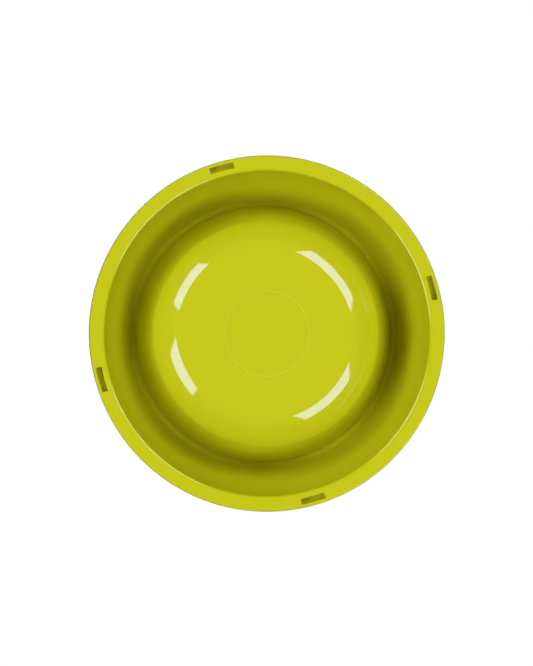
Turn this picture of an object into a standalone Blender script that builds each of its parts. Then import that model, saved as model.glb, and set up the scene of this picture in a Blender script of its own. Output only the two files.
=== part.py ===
"""Round bowl hanging in a flared ring stand. Dimensions in millimetres, angles in degrees."""
import math

import bmesh
import bpy

MM = 0.001
TURN_STEPS = 80

# Overall size
BASE_RADIUS = 92.75  # sharp corner; 92.5 once its edge is rounded
HEIGHT = 55.0
NECK_RADIUS = 69.95  # where the bowl passes through the stand's ledge
RIM_THICKNESS = 2.5
REST_GAP = 0.3
LIFT_CLEARANCE = 0.1

# Stand
BASE_WIDTH = 8.05
BASE_INNER_RADIUS = BASE_RADIUS - BASE_WIDTH
BASE_OUTER_ROUND = 0.8
BASE_INNER_ROUND = 1.0
WALL_BOW_RADIUS = 500.0
WALL_BOW_STEPS = 6
LEDGE_HOLE_RADIUS = NECK_RADIUS + LIFT_CLEARANCE
LEDGE_WIDTH = 3.4
LEDGE_CORNER_RADIUS = LEDGE_HOLE_RADIUS + LEDGE_WIDTH
LEDGE_THICKNESS = 2.2
LEDGE_TOP = HEIGHT - RIM_THICKNESS - REST_GAP
LEDGE_UNDERSIDE = LEDGE_TOP - LEDGE_THICKNESS
LEDGE_FILLET = 4.0
LEDGE_WALL = 3.6
STAND_TOP_RADIUS = LEDGE_CORNER_RADIUS + LEDGE_WALL
STAND_TOP_ROUND = 2.2

# Sockets in the stand's base face
SOCKET_COUNT = 4
SOCKET_SETBACK = 3.65
SOCKET_MID_RADIUS = BASE_RADIUS - SOCKET_SETBACK
SOCKET_WIDTH = 3.0
SOCKET_LENGTH = 12.8
SOCKET_DEPTH = 4.5
SOCKET_CORNER = 0.5

# Bowl
BOWL_UNDERSIDE = 4.0
BOWL_WALL = 2.2
DISH_RADIUS = 24.0
DISH_ANGLE = 40.0
DISH_WIDTH = 15.43
SHOULDER_RADIUS = 18.0
SHOULDER_WIDTH = 15.52
CONE_END_RADIUS = NECK_RADIUS - SHOULDER_WIDTH
BASE_FLAT_RADIUS = CONE_END_RADIUS - DISH_WIDTH
NECK_LENGTH = 2.55
RIM_UNDERSIDE = HEIGHT - RIM_THICKNESS
RIM_OVERHANG = 6.05
RIM_RADIUS = NECK_RADIUS + RIM_OVERHANG
RIM_ROUND = 1.1
RING_MARK_RADIUS = 22.2
RING_MARK_WIDTH = 0.5
RING_MARK_HEIGHT = 0.15


def arc(centre, radius, start, end, steps):
    """Points on a circle, angles measured from +X."""
    points = []
    for step in range(steps + 1):
        angle = math.radians(start + (end - start) * step / steps)
        points.append((centre[0] + radius * math.cos(angle), centre[1] + radius * math.sin(angle)))
    return points


def bowed(start, end, radius, steps):
    """Points between two ends of a wall that bulges to its left-hand side, ends left out."""
    dx = end[0] - start[0]
    dz = end[1] - start[1]
    chord = math.hypot(dx, dz)
    half_angle = math.asin(chord / (2.0 * radius))
    points = []
    for step in range(1, steps):
        share = step / steps
        angle = half_angle * (2.0 * share - 1.0)
        along = 0.5 + math.sin(angle) * radius / chord
        bulge = (math.cos(angle) - math.cos(half_angle)) * radius / chord
        points.append((start[0] + dx * along - dz * bulge, start[1] + dz * along + dx * bulge))
    return points


def rounded(before, corner, after, radius, steps):
    """Points of the round that replaces a corner between two straight runs."""
    ux = before[0] - corner[0]
    uz = before[1] - corner[1]
    wx = after[0] - corner[0]
    wz = after[1] - corner[1]
    u_len = math.hypot(ux, uz)
    w_len = math.hypot(wx, wz)
    ux, uz, wx, wz = ux / u_len, uz / u_len, wx / w_len, wz / w_len
    opening = math.acos(ux * wx + uz * wz)
    reach = radius / math.tan(opening / 2.0)
    middle = radius / math.sin(opening / 2.0)
    bisector = math.hypot(ux + wx, uz + wz)
    cx = corner[0] + (ux + wx) / bisector * middle
    cz = corner[1] + (uz + wz) / bisector * middle
    first = math.atan2(corner[1] + uz * reach - cz, corner[0] + ux * reach - cx)
    last = math.atan2(corner[1] + wz * reach - cz, corner[0] + wx * reach - cx)
    sweep = (last - first + math.pi) % (2.0 * math.pi) - math.pi
    return arc((cx, cz), radius, math.degrees(first), math.degrees(first + sweep), steps)


def shoulder_centre():
    """Centre of the round between the bowl's sloping bottom and its wall."""
    tilt = math.radians(DISH_ANGLE)
    cone_rise = (CONE_END_RADIUS - BASE_FLAT_RADIUS - DISH_RADIUS * math.sin(tilt)) * math.tan(tilt)
    cone_end = BOWL_UNDERSIDE + DISH_RADIUS * (1.0 - math.cos(tilt)) + cone_rise
    return (CONE_END_RADIUS - SHOULDER_RADIUS * math.sin(tilt), cone_end + SHOULDER_RADIUS * math.cos(tilt))


def wall_angle():
    """Slope of the bowl's wall, which touches the shoulder and ends at the foot of the neck."""
    centre = shoulder_centre()
    dx = NECK_RADIUS - centre[0]
    dz = RIM_UNDERSIDE - NECK_LENGTH - centre[1]
    return math.degrees(math.atan2(dz, dx) + math.asin(SHOULDER_RADIUS / math.hypot(dx, dz)))


def bowl_side(inset):
    """Bowl surface from its flat base to the bottom of its wall, moved inwards by a wall thickness."""
    dish_centre = (BASE_FLAT_RADIUS, BOWL_UNDERSIDE + DISH_RADIUS)
    points = arc(dish_centre, DISH_RADIUS - inset, -90.0, -90.0 + DISH_ANGLE, 5)
    points += arc(shoulder_centre(), SHOULDER_RADIUS - inset, -90.0 + DISH_ANGLE, -90.0 + wall_angle(), 6)
    return points


def radius_at(point, height):
    """Radius of the straight wall above a point of it, at a height."""
    return point[0] + (height - point[1]) / math.tan(math.radians(wall_angle()))


def turned(name, profile, closed):
    """Solid of revolution about Z; the profile runs down its outer side."""
    mesh = bpy.data.meshes.new(name)
    edges = [(i, i + 1) for i in range(len(profile) - 1)]
    if closed:
        edges.append((len(profile) - 1, 0))
    mesh.from_pydata([(r * MM, 0.0, z * MM) for r, z in profile], edges, [])
    piece = bpy.data.objects.new(name, mesh)
    bpy.context.scene.collection.objects.link(piece)
    screw = piece.modifiers.new("turn", "SCREW")
    screw.axis = "Z"
    screw.angle = 2.0 * math.pi
    screw.steps = TURN_STEPS
    screw.render_steps = TURN_STEPS
    screw.use_merge_vertices = True
    screw.merge_threshold = 0.00001
    screw.use_smooth_shade = False
    return piece


def socket_cutter(name):
    """Arc-shaped blocks on the X and Y axes that cut the sockets."""
    mesh = bpy.data.meshes.new(name)
    shape = bmesh.new()
    half_angle = math.degrees(SOCKET_LENGTH / 2.0 / SOCKET_MID_RADIUS)
    inner = SOCKET_MID_RADIUS - SOCKET_WIDTH / 2.0
    outer = SOCKET_MID_RADIUS + SOCKET_WIDTH / 2.0
    trim = math.degrees(SOCKET_CORNER / SOCKET_MID_RADIUS)
    for index in range(SOCKET_COUNT):
        turn = 360.0 / SOCKET_COUNT * index
        low = turn - half_angle
        high = turn + half_angle
        outline = arc((0.0, 0.0), outer, low + trim, high - trim, 5)
        outline += arc((0.0, 0.0), outer - SOCKET_CORNER, high, high, 1)[:1]
        outline += arc((0.0, 0.0), inner + SOCKET_CORNER, high, high, 1)[:1]
        outline += arc((0.0, 0.0), inner, high - trim, low + trim, 5)
        outline += arc((0.0, 0.0), inner + SOCKET_CORNER, low, low, 1)[:1]
        outline += arc((0.0, 0.0), outer - SOCKET_CORNER, low, low, 1)[:1]
        bottom = [shape.verts.new((x * MM, y * MM, -2.0 * MM)) for x, y in outline]
        top = [shape.verts.new((x * MM, y * MM, SOCKET_DEPTH * MM)) for x, y in outline]
        shape.faces.new(top)
        shape.faces.new(list(reversed(bottom)))
        for i in range(len(outline)):
            j = (i + 1) % len(outline)
            shape.faces.new((bottom[i], bottom[j], top[j], top[i]))
    shape.to_mesh(mesh)
    shape.free()
    cutter = bpy.data.objects.new(name, mesh)
    bpy.context.scene.collection.objects.link(cutter)
    cutter.hide_render = True
    cutter.display_type = "WIRE"
    return cutter


def plastic(name, colour):
    """Glossy moulded plastic."""
    material = bpy.data.materials.new(name)
    material.use_nodes = True
    shader = material.node_tree.nodes["Principled BSDF"]
    shader.inputs["Base Color"].default_value = colour
    shader.inputs["Roughness"].default_value = 0.2
    return material


def bowl_profile():
    """Section of the bowl, from the middle of its inside over the rim to the middle of its underside."""
    outside = bowl_side(0.0)
    inside = bowl_side(BOWL_WALL)
    lip_inner = (radius_at(inside[-1], HEIGHT), HEIGHT)
    lip_outer = (RIM_RADIUS, HEIGHT)
    lip_under = (RIM_RADIUS, RIM_UNDERSIDE)
    profile = [(0.0, BOWL_UNDERSIDE + BOWL_WALL)]
    profile += inside
    profile += rounded(inside[-1], lip_inner, lip_outer, RIM_ROUND, 3)
    profile += rounded(lip_inner, lip_outer, lip_under, RIM_ROUND, 3)
    profile += rounded(lip_outer, lip_under, (NECK_RADIUS, RIM_UNDERSIDE), RIM_ROUND / 2.0, 2)
    profile.append((NECK_RADIUS, RIM_UNDERSIDE))
    profile.append((NECK_RADIUS, RIM_UNDERSIDE - NECK_LENGTH))
    profile += list(reversed(outside))
    half = RING_MARK_WIDTH / 2.0
    mark_bottom = BOWL_UNDERSIDE - RING_MARK_HEIGHT
    profile.append((RING_MARK_RADIUS + half, BOWL_UNDERSIDE))
    profile.append((RING_MARK_RADIUS + half - RING_MARK_HEIGHT, mark_bottom))
    profile.append((RING_MARK_RADIUS - half + RING_MARK_HEIGHT, mark_bottom))
    profile.append((RING_MARK_RADIUS - half, BOWL_UNDERSIDE))
    profile.append((0.0, BOWL_UNDERSIDE))
    return profile


def stand_profile():
    """Closed section of the stand, from the hole in its ledge down its outside and up its inside."""
    hole_top = (LEDGE_HOLE_RADIUS, LEDGE_TOP)
    shoulder = (STAND_TOP_RADIUS, LEDGE_TOP)
    base_outer = (BASE_RADIUS, 0.0)
    base_inner = (BASE_INNER_RADIUS, 0.0)
    ledge_corner = (LEDGE_CORNER_RADIUS, LEDGE_UNDERSIDE)
    hole_bottom = (LEDGE_HOLE_RADIUS, LEDGE_UNDERSIDE)
    outer_wall = bowed(shoulder, base_outer, WALL_BOW_RADIUS, WALL_BOW_STEPS)
    inner_wall = list(reversed(bowed(ledge_corner, base_inner, WALL_BOW_RADIUS, WALL_BOW_STEPS)))
    profile = [hole_top]
    profile += rounded(hole_top, shoulder, outer_wall[0], STAND_TOP_ROUND, 4)
    profile += outer_wall
    profile += rounded(outer_wall[-1], base_outer, base_inner, BASE_OUTER_ROUND, 3)
    profile += rounded(base_outer, base_inner, inner_wall[0], BASE_INNER_ROUND, 3)
    profile += inner_wall
    profile += rounded(inner_wall[-1], ledge_corner, hole_bottom, LEDGE_FILLET, 4)
    profile.append(hole_bottom)
    return profile


for old in list(bpy.data.objects):
    bpy.data.objects.remove(old)

lime = (0.565, 0.591, 0.0097, 1.0)

stand = turned("stand", stand_profile(), True)
cut = stand.modifiers.new("sockets", "BOOLEAN")
cut.operation = "DIFFERENCE"
cut.solver = "EXACT"
cut.object = socket_cutter("socket_cutter")
stand.data.materials.append(plastic("stand_plastic", lime))

bowl = turned("bowl", bowl_profile(), False)
bowl.data.materials.append(plastic("bowl_plastic", lime))
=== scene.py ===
"""Looks of the bowl in its ring stand. Dimensions in millimetres unless a name ends in _M."""
import math

import bmesh
import bpy
from mathutils import Matrix, Vector


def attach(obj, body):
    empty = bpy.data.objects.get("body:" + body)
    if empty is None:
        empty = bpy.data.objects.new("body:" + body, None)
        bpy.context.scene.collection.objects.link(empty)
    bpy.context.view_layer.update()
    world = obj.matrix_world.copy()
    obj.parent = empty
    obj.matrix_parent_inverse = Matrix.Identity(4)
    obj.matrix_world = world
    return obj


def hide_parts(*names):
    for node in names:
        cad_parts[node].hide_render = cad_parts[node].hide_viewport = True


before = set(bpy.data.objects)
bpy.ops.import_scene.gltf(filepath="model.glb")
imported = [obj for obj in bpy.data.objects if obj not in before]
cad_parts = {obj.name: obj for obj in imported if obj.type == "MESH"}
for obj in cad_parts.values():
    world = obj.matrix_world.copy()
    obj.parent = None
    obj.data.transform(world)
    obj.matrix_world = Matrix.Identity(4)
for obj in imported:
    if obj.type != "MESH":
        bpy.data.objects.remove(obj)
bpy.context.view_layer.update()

MM = 0.001
TURN_STEPS = 320

# Overall size
BASE_RADIUS = 92.75  # sharp corner; 92.5 once its edge is rounded
HEIGHT = 55.0
NECK_RADIUS = 69.95  # where the bowl passes through the stand's ledge
RIM_THICKNESS = 2.5
REST_GAP = 0.3
LIFT_CLEARANCE = 0.015

# Stand
BASE_WIDTH = 8.05
BASE_INNER_RADIUS = BASE_RADIUS - BASE_WIDTH
BASE_INNER_ROUND = 1.35
BASE_OUTER_ROUND = 0.8
OUTER_BOW_RADIUS = 500.0
INNER_BOW_RADIUS = 250.0
LEDGE_HOLE_RADIUS = NECK_RADIUS + LIFT_CLEARANCE
LEDGE_WIDTH = 2.4
LEDGE_CORNER_RADIUS = LEDGE_HOLE_RADIUS + LEDGE_WIDTH
LEDGE_THICKNESS = 2.2
LEDGE_TOP = HEIGHT - RIM_THICKNESS - REST_GAP
LEDGE_UNDERSIDE = LEDGE_TOP - LEDGE_THICKNESS
LEDGE_FILLET = 1.4
LEDGE_COLLAR_ROUND = 1.8
LEDGE_WALL = 4.6
STAND_TOP_RADIUS = LEDGE_CORNER_RADIUS + LEDGE_WALL
STAND_TOP_ROUND = 2.2

# Sockets in the stand's base face
SOCKET_COUNT = 4
SOCKET_SETBACK = 3.65
SOCKET_MID_RADIUS = BASE_RADIUS - SOCKET_SETBACK
SOCKET_WIDTH = 3.0
SOCKET_LENGTH = 12.8
SOCKET_DEPTH = 4.5
SOCKET_CORNER = 0.5
# Height above the base face and growth of the outline, from the socket's floor to its mouth
SOCKET_LEVELS = (
    (SOCKET_DEPTH, -0.45), (SOCKET_DEPTH - 0.06, -0.25),
    (SOCKET_DEPTH - 0.2, -0.08), (SOCKET_DEPTH - 0.45, 0.0),
    (0.45, 0.0), (0.26, 0.05), (0.12, 0.14), (0.04, 0.27), (-0.02, 0.46), (-1.0, 0.6),
)

# Bowl
BOWL_UNDERSIDE = 4.0
BOWL_WALL = 2.2
DISH_RADIUS = 24.0
DISH_ANGLE = 40.0
DISH_WIDTH = 15.43
SHOULDER_RADIUS = 18.0
SHOULDER_WIDTH = 15.52
CONE_END_RADIUS = NECK_RADIUS - SHOULDER_WIDTH
BASE_FLAT_RADIUS = CONE_END_RADIUS - DISH_WIDTH
NECK_LENGTH = 2.55
RIM_UNDERSIDE = HEIGHT - RIM_THICKNESS
RIM_OVERHANG = 6.05
RIM_RADIUS = NECK_RADIUS + RIM_OVERHANG
RIM_ROUND = 1.1
RING_MARK_RADIUS = 22.2
RING_MARK_WIDTH = 0.6
RING_MARK_HEIGHT = 0.03
RING_MARK_ROUGH = 0.40  # matt; the rest of the bowl is glossy

# Plastic: colour, gloss and the scales of its noises, per metre
LIME = (0.73, 0.712, 0.0105, 1.0)
PLASTIC_IOR = 1.55
GLOSS_LEVEL = 0.72
GLOSS_TINT = (1.0, 0.85, 1.0, 1.0)
DRIFT_SCALE = 14.0
GRAIN_SCALE = 2600.0
PATCH_SCALE = 45.0
PEEL_SCALE = 900.0
WAVE_SCALE = 70.0
SCRATCH_STRETCH = (16.0, 700.0, 60.0)
SCRATCH_TURNS = (0.35, -1.1)
ROUGH_LOW = 0.04
ROUGH_HIGH = 0.07
SCRATCH_ROUGH = 0.07
RELIEF_STRENGTH = 0.06
RELIEF_DEPTH_M = 0.0001

# Camera, as in the photograph: under the base, looking up at it
IMAGE_HEIGHT = 666
MM_PER_PIXEL = 0.5188
CAMERA_DISTANCE = 1000.0
CAMERA_RIGHT = -47.0
CAMERA_UP = -5.7
AIM_RIGHT = -0.59
AIM_UP = 0.25
SENSOR = 36.0
IMAGE_TURN = 195.5


def arc(centre, radius, start, end, steps):
    points = []
    for step in range(steps + 1):
        angle = math.radians(start + (end - start) * step / steps)
        points.append((centre[0] + radius * math.cos(angle), centre[1] + radius * math.sin(angle)))
    return points


def straight(start, end, steps):
    """Points between two ends, ends left out."""
    return [
        (start[0] + (end[0] - start[0]) * i / steps, start[1] + (end[1] - start[1]) * i / steps)
        for i in range(1, steps)
    ]


def bowed(start, end, radius, steps):
    """Points between two ends of a wall that bulges to its left-hand side, ends left out."""
    dx = end[0] - start[0]
    dz = end[1] - start[1]
    chord = math.hypot(dx, dz)
    half_angle = math.asin(chord / (2.0 * radius))
    points = []
    for step in range(1, steps):
        angle = half_angle * (2.0 * step / steps - 1.0)
        along = 0.5 + math.sin(angle) * radius / chord
        bulge = (math.cos(angle) - math.cos(half_angle)) * radius / chord
        points.append((start[0] + dx * along - dz * bulge, start[1] + dz * along + dx * bulge))
    return points


def rounded(before, corner, after, radius, steps):
    """Points of the round that replaces a corner between two straight runs."""
    corner = Vector(corner)
    u = (Vector(before) - corner).normalized()
    w = (Vector(after) - corner).normalized()
    opening = u.angle(w)
    reach = radius / math.tan(opening / 2.0)
    centre = corner + (u + w).normalized() * (radius / math.sin(opening / 2.0))
    first = corner + u * reach - centre
    last = corner + w * reach - centre
    start = math.atan2(first.y, first.x)
    sweep = (math.atan2(last.y, last.x) - start + math.pi) % (2.0 * math.pi) - math.pi
    return arc(centre, radius, math.degrees(start), math.degrees(start + sweep), steps)


def shoulder_centre():
    """Centre of the round between the bowl's sloping bottom and its wall."""
    tilt = math.radians(DISH_ANGLE)
    cone_rise = (CONE_END_RADIUS - BASE_FLAT_RADIUS - DISH_RADIUS * math.sin(tilt)) * math.tan(tilt)
    cone_end = BOWL_UNDERSIDE + DISH_RADIUS * (1.0 - math.cos(tilt)) + cone_rise
    return (CONE_END_RADIUS - SHOULDER_RADIUS * math.sin(tilt), cone_end + SHOULDER_RADIUS * math.cos(tilt))


def wall_angle():
    """Slope of the bowl's wall, which touches the shoulder and ends at the foot of the neck."""
    centre = shoulder_centre()
    dx = NECK_RADIUS - centre[0]
    dz = RIM_UNDERSIDE - NECK_LENGTH - centre[1]
    return math.degrees(math.atan2(dz, dx) + math.asin(SHOULDER_RADIUS / math.hypot(dx, dz)))


def bowl_side(inset):
    """Bowl surface from its flat base to the bottom of its wall, moved inwards by a wall thickness."""
    dish_centre = (BASE_FLAT_RADIUS, BOWL_UNDERSIDE + DISH_RADIUS)
    dish = arc(dish_centre, DISH_RADIUS - inset, -90.0, -90.0 + DISH_ANGLE, 20)
    round_end = -90.0 + wall_angle()
    shoulder = arc(shoulder_centre(), SHOULDER_RADIUS - inset, -90.0 + DISH_ANGLE, round_end, 24)
    return dish + straight(dish[-1], shoulder[0], 6) + shoulder


def bowl_profile():
    outside = bowl_side(0.0)
    inside = bowl_side(BOWL_WALL)
    slope = math.tan(math.radians(wall_angle()))
    lip_inner = (inside[-1][0] + (HEIGHT - inside[-1][1]) / slope, HEIGHT)
    lip_outer = (RIM_RADIUS, HEIGHT)
    lip_under = (RIM_RADIUS, RIM_UNDERSIDE)
    neck_top = (NECK_RADIUS, RIM_UNDERSIDE)
    neck = (NECK_RADIUS, RIM_UNDERSIDE - NECK_LENGTH)
    floor = (0.0, BOWL_UNDERSIDE + BOWL_WALL)
    profile = [floor] + straight(floor, inside[0], 8) + inside
    lip = rounded(inside[-1], lip_inner, lip_outer, RIM_ROUND, 10)
    profile += straight(inside[-1], lip[0], 12) + lip
    lip = rounded(lip_inner, lip_outer, lip_under, RIM_ROUND, 10)
    profile += straight(profile[-1], lip[0], 3) + lip
    profile += rounded(lip_outer, lip_under, neck_top, RIM_ROUND / 2.0, 6)
    profile += rounded(lip_under, neck_top, neck, 0.4, 4)
    profile += [neck] + straight(neck, outside[-1], 10) + list(reversed(outside))
    half = RING_MARK_WIDTH / 2.0
    mark = [
        (RING_MARK_RADIUS + half * math.cos(a), BOWL_UNDERSIDE - RING_MARK_HEIGHT * math.sin(a))
        for a in [math.pi * i / 8 for i in range(9)]
    ]
    profile += straight(profile[-1], mark[0], 5) + mark
    profile += straight(mark[-1], (0.0, BOWL_UNDERSIDE), 5) + [(0.0, BOWL_UNDERSIDE)]
    return profile


def stand_profile():
    hole_top = (LEDGE_HOLE_RADIUS, LEDGE_TOP)
    shoulder = (STAND_TOP_RADIUS, LEDGE_TOP)
    base_outer = (BASE_RADIUS, 0.0)
    base_inner = (BASE_INNER_RADIUS, 0.0)
    ledge_corner = (LEDGE_CORNER_RADIUS, LEDGE_UNDERSIDE)
    hole_bottom = (LEDGE_HOLE_RADIUS, LEDGE_UNDERSIDE)
    outer_wall = bowed(shoulder, base_outer, OUTER_BOW_RADIUS, 18)
    inner_wall = list(reversed(bowed(ledge_corner, base_inner, INNER_BOW_RADIUS, 26)))
    profile = [hole_top]
    profile += rounded(hole_top, shoulder, outer_wall[0], STAND_TOP_ROUND, 10)
    profile += outer_wall[1:]
    profile += rounded(outer_wall[-1], base_outer, base_inner, BASE_OUTER_ROUND, 8)
    profile += rounded(base_outer, base_inner, inner_wall[0], BASE_INNER_ROUND, 10)
    profile += inner_wall[:-1]
    profile += rounded(inner_wall[-1], ledge_corner, hole_bottom, LEDGE_FILLET, 12)
    # The ledge turns down beside the bowl and ends in a thin lip that follows the bowl's wall
    lean = 1.0 / math.tan(math.radians(wall_angle()))
    down = (hole_bottom[0] - lean, hole_bottom[1] - 1.0)
    collar = rounded(ledge_corner, hole_bottom, down, LEDGE_COLLAR_ROUND, 14)[:-1]
    tip = collar[-1][1]
    profile += collar + [(LEDGE_HOLE_RADIUS - lean * (LEDGE_UNDERSIDE - tip), tip), hole_bottom]
    return profile


def turned(name, profile, closed):
    """Closed mesh of revolution about Z; the profile runs down its outer side."""
    shape = bmesh.new()
    columns = []
    for step in range(TURN_STEPS):
        angle = 2.0 * math.pi * step / TURN_STEPS
        column = []
        for index, (radius, height) in enumerate(profile):
            if radius == 0.0 and step:
                column.append(columns[0][index])
            else:
                point = (radius * math.cos(angle) * MM, radius * math.sin(angle) * MM, height * MM)
                column.append(shape.verts.new(point))
        columns.append(column)
    count = len(profile)
    for step in range(TURN_STEPS):
        here = columns[step]
        there = columns[(step + 1) % TURN_STEPS]
        for index in range(count if closed else count - 1):
            after = (index + 1) % count
            corners = []
            for vert in (here[index], here[after], there[after], there[index]):
                if vert not in corners:
                    corners.append(vert)
            shape.faces.new(corners)
    bmesh.ops.recalc_face_normals(shape, faces=shape.faces)
    mesh = bpy.data.meshes.new(name)
    shape.to_mesh(mesh)
    shape.free()
    piece = bpy.data.objects.new(name, mesh)
    bpy.context.scene.collection.objects.link(piece)
    return piece


def socket_outline(turn, grow):
    """Outline of one socket: an arc-shaped slot with rounded corners, larger by grow all round."""
    half_length = SOCKET_LENGTH / 2.0 + grow
    half_width = SOCKET_WIDTH / 2.0 + grow
    corner = max(SOCKET_CORNER + grow, 0.06)
    flat = []
    for cx, cy, start in ((1, 1, 0), (-1, 1, 90), (-1, -1, 180), (1, -1, 270)):
        centre = (cx * (half_length - corner), cy * (half_width - corner))
        flat += arc(centre, corner, start, start + 90, 6)
        if cy == cx:
            first = flat[-1]
            second = (-first[0], first[1])
            flat += straight(first, second, 14)
    outline = []
    for along, across in flat:
        angle = math.radians(turn) - along / SOCKET_MID_RADIUS
        radius = SOCKET_MID_RADIUS + across
        outline.append((radius * math.cos(angle), radius * math.sin(angle)))
    return outline


def cut_sockets(piece):
    """Cut the sockets, with softened mouths, into the stand."""
    shape = bmesh.new()
    for index in range(SOCKET_COUNT):
        rings = []
        for height, grow in SOCKET_LEVELS:
            outline = socket_outline(360.0 / SOCKET_COUNT * index, grow)
            rings.append([shape.verts.new((x * MM, y * MM, height * MM)) for x, y in outline])
        shape.faces.new(rings[0])
        shape.faces.new(list(reversed(rings[-1])))
        for upper, lower in zip(rings, rings[1:]):
            for i in range(len(upper)):
                j = (i + 1) % len(upper)
                shape.faces.new((upper[i], lower[i], lower[j], upper[j]))
    bmesh.ops.recalc_face_normals(shape, faces=shape.faces)
    mesh = bpy.data.meshes.new("socket_cutter")
    shape.to_mesh(mesh)
    shape.free()
    cutter = bpy.data.objects.new("socket_cutter", mesh)
    bpy.context.scene.collection.objects.link(cutter)
    cut = piece.modifiers.new("sockets", "BOOLEAN")
    cut.operation = "DIFFERENCE"
    cut.solver = "EXACT"
    cut.object = cutter
    solid = piece.evaluated_get(bpy.context.evaluated_depsgraph_get())
    piece.modifiers.remove(cut)
    old = piece.data
    piece.data = bpy.data.meshes.new_from_object(solid)
    bpy.data.meshes.remove(old)
    bpy.data.objects.remove(cutter)


def smooth(piece):
    """Smooth shading that keeps the flat faces flat."""
    piece.data.polygons.foreach_set("use_smooth", [True] * len(piece.data.polygons))
    weighted = piece.modifiers.new("normals", "WEIGHTED_NORMAL")
    weighted.mode = "FACE_AREA"
    weighted.weight = 50
    weighted.keep_sharp = False


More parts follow.
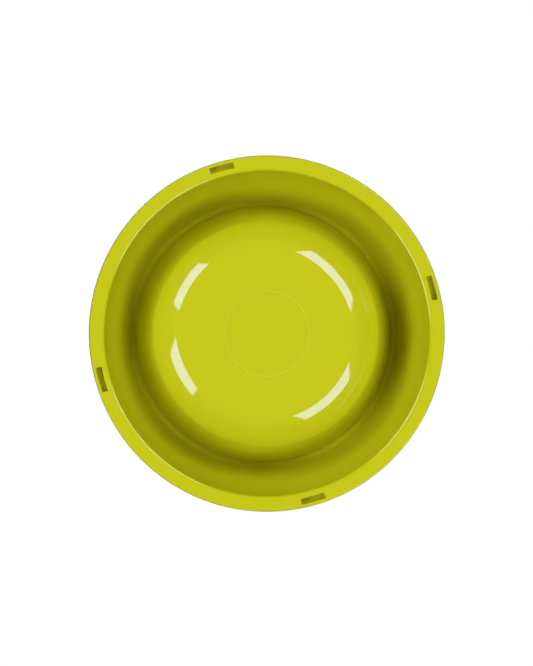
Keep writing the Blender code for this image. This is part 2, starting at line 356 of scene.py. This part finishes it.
def plastic(name, seed, ring_mark):
    """Glossy moulded lime plastic: faint colour drift, moulding grain, fine wear and a matt ring mark."""
    material = bpy.data.materials.new(name)
    material.use_nodes = True
    nodes = material.node_tree.nodes
    links = material.node_tree.links
    shader = nodes["Principled BSDF"]
    shader.inputs["IOR"].default_value = PLASTIC_IOR
    shader.inputs["Specular IOR Level"].default_value = GLOSS_LEVEL
    shader.inputs["Specular Tint"].default_value = GLOSS_TINT
    place = nodes.new("ShaderNodeTexCoord")
    shift = nodes.new("ShaderNodeMapping")
    shift.inputs["Location"].default_value = (seed, seed * 0.7, seed * 1.3)
    links.new(place.outputs["Object"], shift.inputs["Vector"])

    def noise(scale, detail, roughness):
        node = nodes.new("ShaderNodeTexNoise")
        node.inputs["Scale"].default_value = scale
        node.inputs["Detail"].default_value = detail
        node.inputs["Roughness"].default_value = roughness
        links.new(shift.outputs["Vector"], node.inputs["Vector"])
        return node

    def ramp(source, low, high, at_low, at_high):
        node = nodes.new("ShaderNodeMapRange")
        node.inputs["From Min"].default_value = low
        node.inputs["From Max"].default_value = high
        node.inputs["To Min"].default_value = at_low
        node.inputs["To Max"].default_value = at_high
        links.new(source, node.inputs["Value"])
        return node.outputs["Result"]

    def ring_band():
        """One on the ring mark under the bowl, nought elsewhere."""
        spot = nodes.new("ShaderNodeSeparateXYZ")
        links.new(place.outputs["Object"], spot.inputs["Vector"])
        flat = nodes.new("ShaderNodeCombineXYZ")
        links.new(spot.outputs["X"], flat.inputs["X"])
        links.new(spot.outputs["Y"], flat.inputs["Y"])
        reach = nodes.new("ShaderNodeVectorMath")
        reach.operation = "LENGTH"
        links.new(flat.outputs["Vector"], reach.inputs[0])
        offset = nodes.new("ShaderNodeMath")
        offset.operation = "SUBTRACT"
        offset.inputs[1].default_value = RING_MARK_RADIUS * MM
        links.new(reach.outputs["Value"], offset.inputs[0])
        away = nodes.new("ShaderNodeMath")
        away.operation = "ABSOLUTE"
        links.new(offset.outputs["Value"], away.inputs[0])
        half = RING_MARK_WIDTH / 2.0 * MM
        under = nodes.new("ShaderNodeMath")
        under.operation = "LESS_THAN"
        under.inputs[1].default_value = (BOWL_UNDERSIDE + BOWL_WALL / 2.0) * MM
        links.new(spot.outputs["Z"], under.inputs[0])
        band = nodes.new("ShaderNodeMath")
        band.operation = "MULTIPLY"
        links.new(ramp(away.outputs["Value"], 0.6 * half, 1.1 * half, 1.0, 0.0), band.inputs[0])
        links.new(under.outputs["Value"], band.inputs[1])
        return band.outputs["Value"]

    # Colour drifts a little along the melt flow, with a fine pigment grain on top
    drift = noise(DRIFT_SCALE, 3.0, 0.5)
    grain = noise(GRAIN_SCALE, 2.0, 0.6)
    mix = nodes.new("ShaderNodeMix")
    mix.data_type = "RGBA"
    mix.inputs["A"].default_value = (LIME[0] * 0.975, LIME[1] * 0.97, LIME[2] * 0.9, 1.0)
    mix.inputs["B"].default_value = (LIME[0] * 1.025, LIME[1] * 1.03, LIME[2] * 1.1, 1.0)
    blend = nodes.new("ShaderNodeMath")
    blend.operation = "MULTIPLY_ADD"
    blend.inputs[1].default_value = 0.35
    links.new(grain.outputs["Fac"], blend.inputs[0])
    links.new(ramp(drift.outputs["Fac"], 0.3, 0.7, 0.0, 0.65), blend.inputs[2])
    links.new(blend.outputs["Value"], mix.inputs["Factor"])
    links.new(mix.outputs["Result"], shader.inputs["Base Color"])

    # Fine handling scratches: thin bands of two stretched noises
    marks = None
    for turn in SCRATCH_TURNS:
        lay = nodes.new("ShaderNodeMapping")
        lay.inputs["Rotation"].default_value = (0.0, 0.0, turn)
        lay.inputs["Scale"].default_value = SCRATCH_STRETCH
        links.new(shift.outputs["Vector"], lay.inputs["Vector"])
        lines = nodes.new("ShaderNodeTexNoise")
        lines.inputs["Scale"].default_value = 1.0
        lines.inputs["Detail"].default_value = 2.0
        links.new(lay.outputs["Vector"], lines.inputs["Vector"])
        thin = ramp(lines.outputs["Fac"], 0.68, 0.76, 0.0, 1.0)
        if marks is None:
            marks = thin
        else:
            both = nodes.new("ShaderNodeMath")
            both.operation = "MAXIMUM"
            links.new(marks, both.inputs[0])
            links.new(thin, both.inputs[1])
            marks = both.outputs["Value"]

    # Roughness: polished mould with patches, rougher in the scratches
    patches = noise(PATCH_SCALE, 4.0, 0.6)
    rough = nodes.new("ShaderNodeMath")
    rough.operation = "MULTIPLY_ADD"
    rough.inputs[1].default_value = SCRATCH_ROUGH
    links.new(marks, rough.inputs[0])
    links.new(ramp(patches.outputs["Fac"], 0.3, 0.7, ROUGH_LOW, ROUGH_HIGH), rough.inputs[2])
    finish = rough.outputs["Value"]
    if ring_mark:
        matt = nodes.new("ShaderNodeMix")
        matt.data_type = "FLOAT"
        matt.inputs["B"].default_value = RING_MARK_ROUGH
        links.new(ring_band(), matt.inputs["Factor"])
        links.new(finish, matt.inputs["A"])
        finish = matt.outputs["Result"]
    links.new(finish, shader.inputs["Roughness"])

    # Relief: slight waviness, orange-peel grain and the scratches
    peel = noise(PEEL_SCALE, 2.0, 0.5)
    wave = noise(WAVE_SCALE, 1.0, 0.4)
    relief = nodes.new("ShaderNodeMath")
    relief.operation = "MULTIPLY_ADD"
    relief.inputs[1].default_value = 0.06
    links.new(peel.outputs["Fac"], relief.inputs[0])
    links.new(ramp(wave.outputs["Fac"], 0.0, 1.0, 0.0, 0.5), relief.inputs[2])
    scored = nodes.new("ShaderNodeMath")
    scored.operation = "MULTIPLY_ADD"
    scored.inputs[1].default_value = -0.03
    links.new(marks, scored.inputs[0])
    links.new(relief.outputs["Value"], scored.inputs[2])
    bump = nodes.new("ShaderNodeBump")
    bump.inputs["Strength"].default_value = RELIEF_STRENGTH
    bump.inputs["Distance"].default_value = RELIEF_DEPTH_M
    links.new(scored.outputs["Value"], bump.inputs["Height"])
    links.new(bump.outputs["Normal"], shader.inputs["Normal"])
    return material


def dress(piece, node, body, material):
    smooth(piece)
    piece.data.materials.clear()
    piece.data.materials.append(material)
    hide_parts(node)
    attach(piece, body)


stand = turned("ring_stand", stand_profile(), True)
cut_sockets(stand)
dress(stand, "stand", "stand", plastic("lime_plastic_stand", 3.1, False))

bowl = turned("round_bowl", bowl_profile(), False)
dress(bowl, "bowl", "bowl", plastic("lime_plastic_bowl", 7.4, True))


# Floor: opaque from above. The photograph looks up at the base, so from below the floor is
# see-through, and it lets light through where the base stands.
FLOOR_DROP = 0.3
FLOOR_SIZE_M = 8.0
FOOTPRINT = 92.3
FLOOR_TO_CAMERA = (0.86, 0.86, 0.855, 1.0)
FLOOR_BOUNCE = (0.5, 0.5, 0.5, 1.0)
FADE_START_M = 0.15
FADE_END_M = 0.9


def floor_material():
    material = bpy.data.materials.new("pale_floor")
    material.use_nodes = True
    nodes = material.node_tree.nodes
    links = material.node_tree.links
    paper = nodes["Principled BSDF"]
    paper.inputs["Roughness"].default_value = 0.85
    paper.inputs["Specular IOR Level"].default_value = 0.2
    clear = nodes.new("ShaderNodeBsdfTransparent")
    mix = nodes.new("ShaderNodeMixShader")
    path = nodes.new("ShaderNodeLightPath")
    geometry = nodes.new("ShaderNodeNewGeometry")
    reach = nodes.new("ShaderNodeVectorMath")
    reach.operation = "LENGTH"
    links.new(geometry.outputs["Position"], reach.inputs[0])

    # Pale to the camera and greyer as a bounce surface
    shade = nodes.new("ShaderNodeMix")
    shade.data_type = "RGBA"
    shade.inputs["A"].default_value = FLOOR_BOUNCE
    shade.inputs["B"].default_value = FLOOR_TO_CAMERA
    links.new(path.outputs["Is Camera Ray"], shade.inputs["Factor"])
    links.new(shade.outputs["Result"], paper.inputs["Base Color"])

    # Fades to white with distance, so that it has no horizon
    fade = nodes.new("ShaderNodeMapRange")
    fade.interpolation_type = "SMOOTHSTEP"
    fade.inputs["From Min"].default_value = FADE_START_M
    fade.inputs["From Max"].default_value = FADE_END_M
    links.new(reach.outputs["Value"], fade.inputs["Value"])
    far = nodes.new("ShaderNodeMath")
    far.operation = "MULTIPLY"
    links.new(fade.outputs["Result"], far.inputs[0])
    links.new(path.outputs["Is Camera Ray"], far.inputs[1])
    white = nodes.new("ShaderNodeEmission")
    white.inputs["Color"].default_value = (1.0, 1.0, 1.0, 1.0)
    white.inputs["Strength"].default_value = 1.0
    sweep = nodes.new("ShaderNodeMixShader")
    links.new(far.outputs["Value"], sweep.inputs["Fac"])
    links.new(paper.outputs["BSDF"], sweep.inputs[1])
    links.new(white.outputs["Emission"], sweep.inputs[2])

    inside = nodes.new("ShaderNodeMath")
    inside.operation = "LESS_THAN"
    inside.inputs[1].default_value = FOOTPRINT * MM
    links.new(reach.outputs["Value"], inside.inputs[0])
    choose = nodes.new("ShaderNodeMix")
    choose.data_type = "FLOAT"
    links.new(path.outputs["Is Camera Ray"], choose.inputs["Factor"])
    links.new(inside.outputs["Value"], choose.inputs["A"])
    links.new(geometry.outputs["Backfacing"], choose.inputs["B"])
    links.new(choose.outputs["Result"], mix.inputs["Fac"])
    links.new(sweep.outputs["Shader"], mix.inputs[1])
    links.new(clear.outputs["BSDF"], mix.inputs[2])
    links.new(mix.outputs["Shader"], nodes["Material Output"].inputs["Surface"])
    return material


floor_mesh = bpy.data.meshes.new("floor")
half = FLOOR_SIZE_M / 2.0
drop = -FLOOR_DROP * MM
floor_mesh.from_pydata(
    [(-half, -half, drop), (half, -half, drop), (half, half, drop), (-half, half, drop)], [], [(0, 1, 2, 3)]
)
floor = bpy.data.objects.new("floor", floor_mesh)
bpy.context.scene.collection.objects.link(floor)
floor.data.materials.append(floor_material())


def area_light(name, width, height, power):
    lamp = bpy.data.lights.new(name, "AREA")
    lamp.shape = "RECTANGLE"
    lamp.size = width
    lamp.size_y = height
    lamp.energy = power
    holder = bpy.data.objects.new(name, lamp)
    holder.visible_camera = False
    bpy.context.scene.collection.objects.link(holder)
    return holder


picture_turn = math.radians(IMAGE_TURN)
image_right = Vector((math.cos(picture_turn), math.sin(picture_turn), 0.0))
image_up = Vector((math.sin(picture_turn), -math.cos(picture_turn), 0.0))

# Panels that light the base, as in the photograph: picture angle, angle off the axis, width, height, roll
PANEL_DISTANCE_M = 0.9
PANEL_COLOUR = (0.628, 0.708, 1.0)
PANEL_RADIANCE = 6.35
PANELS = (
    (40.5, 44.0, 0.51, 0.34, 1.5),
    (146.0, 53.0, 0.42, 0.35, 1.5),
    (203.5, 51.0, 0.43, 0.38, 14.0),
    (316.5, 45.0, 0.49, 0.36, -5.0),
)


def base_panel(name, angle, tilt, width, height, roll):
    holder = area_light(name, width, height, PANEL_RADIANCE * math.pi * width * height)
    holder.data.color = PANEL_COLOUR
    flat = image_right * math.cos(math.radians(angle)) + image_up * math.sin(math.radians(angle))
    out = flat * math.sin(math.radians(tilt)) - Vector((0.0, 0.0, math.cos(math.radians(tilt))))
    up = flat * math.cos(math.radians(tilt)) + Vector((0.0, 0.0, math.sin(math.radians(tilt))))
    axes = Matrix((up.cross(out), up, out)).transposed() @ Matrix.Rotation(math.radians(roll), 3, "Z")
    holder.matrix_world = Matrix.Translation(out * PANEL_DISTANCE_M) @ axes.to_4x4()


for number, panel in enumerate(PANELS):
    base_panel("base_panel_%d" % number, *panel)

# Studio light for the upper side, in metres and watts: name, place, width, height, power
UPPER_AIM = Vector((0.0, 0.0, 0.03))
UPPER_LIGHTS = (
    ("key", (-0.75, -0.65, 1.1), 0.9, 0.9, 11.2),
    ("fill", (0.95, -0.35, 0.8), 0.8, 1.1, 4.2),
    ("back", (0.25, 0.95, 0.9), 0.9, 0.6, 3.7),
)
for name, place, width, height, power in UPPER_LIGHTS:
    light = area_light(name, width, height, power)
    light.location = place
    light.rotation_euler = (UPPER_AIM - Vector(place)).to_track_quat("-Z", "Y").to_euler()

ROOM_BELOW = (0.175, 0.14, 0.02, 1.0)
SKY_ABOVE = (0.35, 0.35, 0.35, 1.0)


def sky():
    """White to the camera; soft light from above and a dim room below."""
    world = bpy.data.worlds.new("studio")
    bpy.context.scene.world = world
    world.use_nodes = True
    nodes = world.node_tree.nodes
    links = world.node_tree.links
    ambient = nodes["Background"]
    white = nodes.new("ShaderNodeBackground")
    white.inputs["Color"].default_value = (1.0, 1.0, 1.0, 1.0)
    white.inputs["Strength"].default_value = 1.0
    place = nodes.new("ShaderNodeTexCoord")
    split = nodes.new("ShaderNodeSeparateXYZ")
    links.new(place.outputs["Generated"], split.inputs["Vector"])
    level = nodes.new("ShaderNodeMapRange")
    level.interpolation_type = "SMOOTHSTEP"
    level.inputs["From Min"].default_value = -0.1
    level.inputs["From Max"].default_value = 0.3
    links.new(split.outputs["Z"], level.inputs["Value"])
    tone = nodes.new("ShaderNodeMix")
    tone.data_type = "RGBA"
    tone.inputs["A"].default_value = ROOM_BELOW
    tone.inputs["B"].default_value = SKY_ABOVE
    links.new(level.outputs["Result"], tone.inputs["Factor"])
    links.new(tone.outputs["Result"], ambient.inputs["Color"])
    path = nodes.new("ShaderNodeLightPath")
    mix = nodes.new("ShaderNodeMixShader")
    links.new(path.outputs["Is Camera Ray"], mix.inputs["Fac"])
    links.new(ambient.outputs["Background"], mix.inputs[1])
    links.new(white.outputs["Background"], mix.inputs[2])
    links.new(mix.outputs["Shader"], nodes["World Output"].inputs["Surface"])


sky()

eye = (image_right * CAMERA_RIGHT + image_up * CAMERA_UP - Vector((0.0, 0.0, CAMERA_DISTANCE))) * MM
aim = (image_right * AIM_RIGHT + image_up * AIM_UP) * MM
back = (eye - aim).normalized()
side = image_up.cross(back).normalized()
above = back.cross(side)
camera_data = bpy.data.cameras.new("camera")
camera_data.sensor_fit = "VERTICAL"
camera_data.sensor_height = SENSOR
camera_data.lens = SENSOR * eye.length / (IMAGE_HEIGHT * MM_PER_PIXEL * MM)
camera = bpy.data.objects.new("camera", camera_data)
camera.matrix_world = Matrix.Translation(eye) @ Matrix((side, above, back)).transposed().to_4x4()
bpy.context.scene.collection.objects.link(camera)
bpy.context.scene.camera = camera

bpy.context.scene.view_settings.view_transform = "Standard"
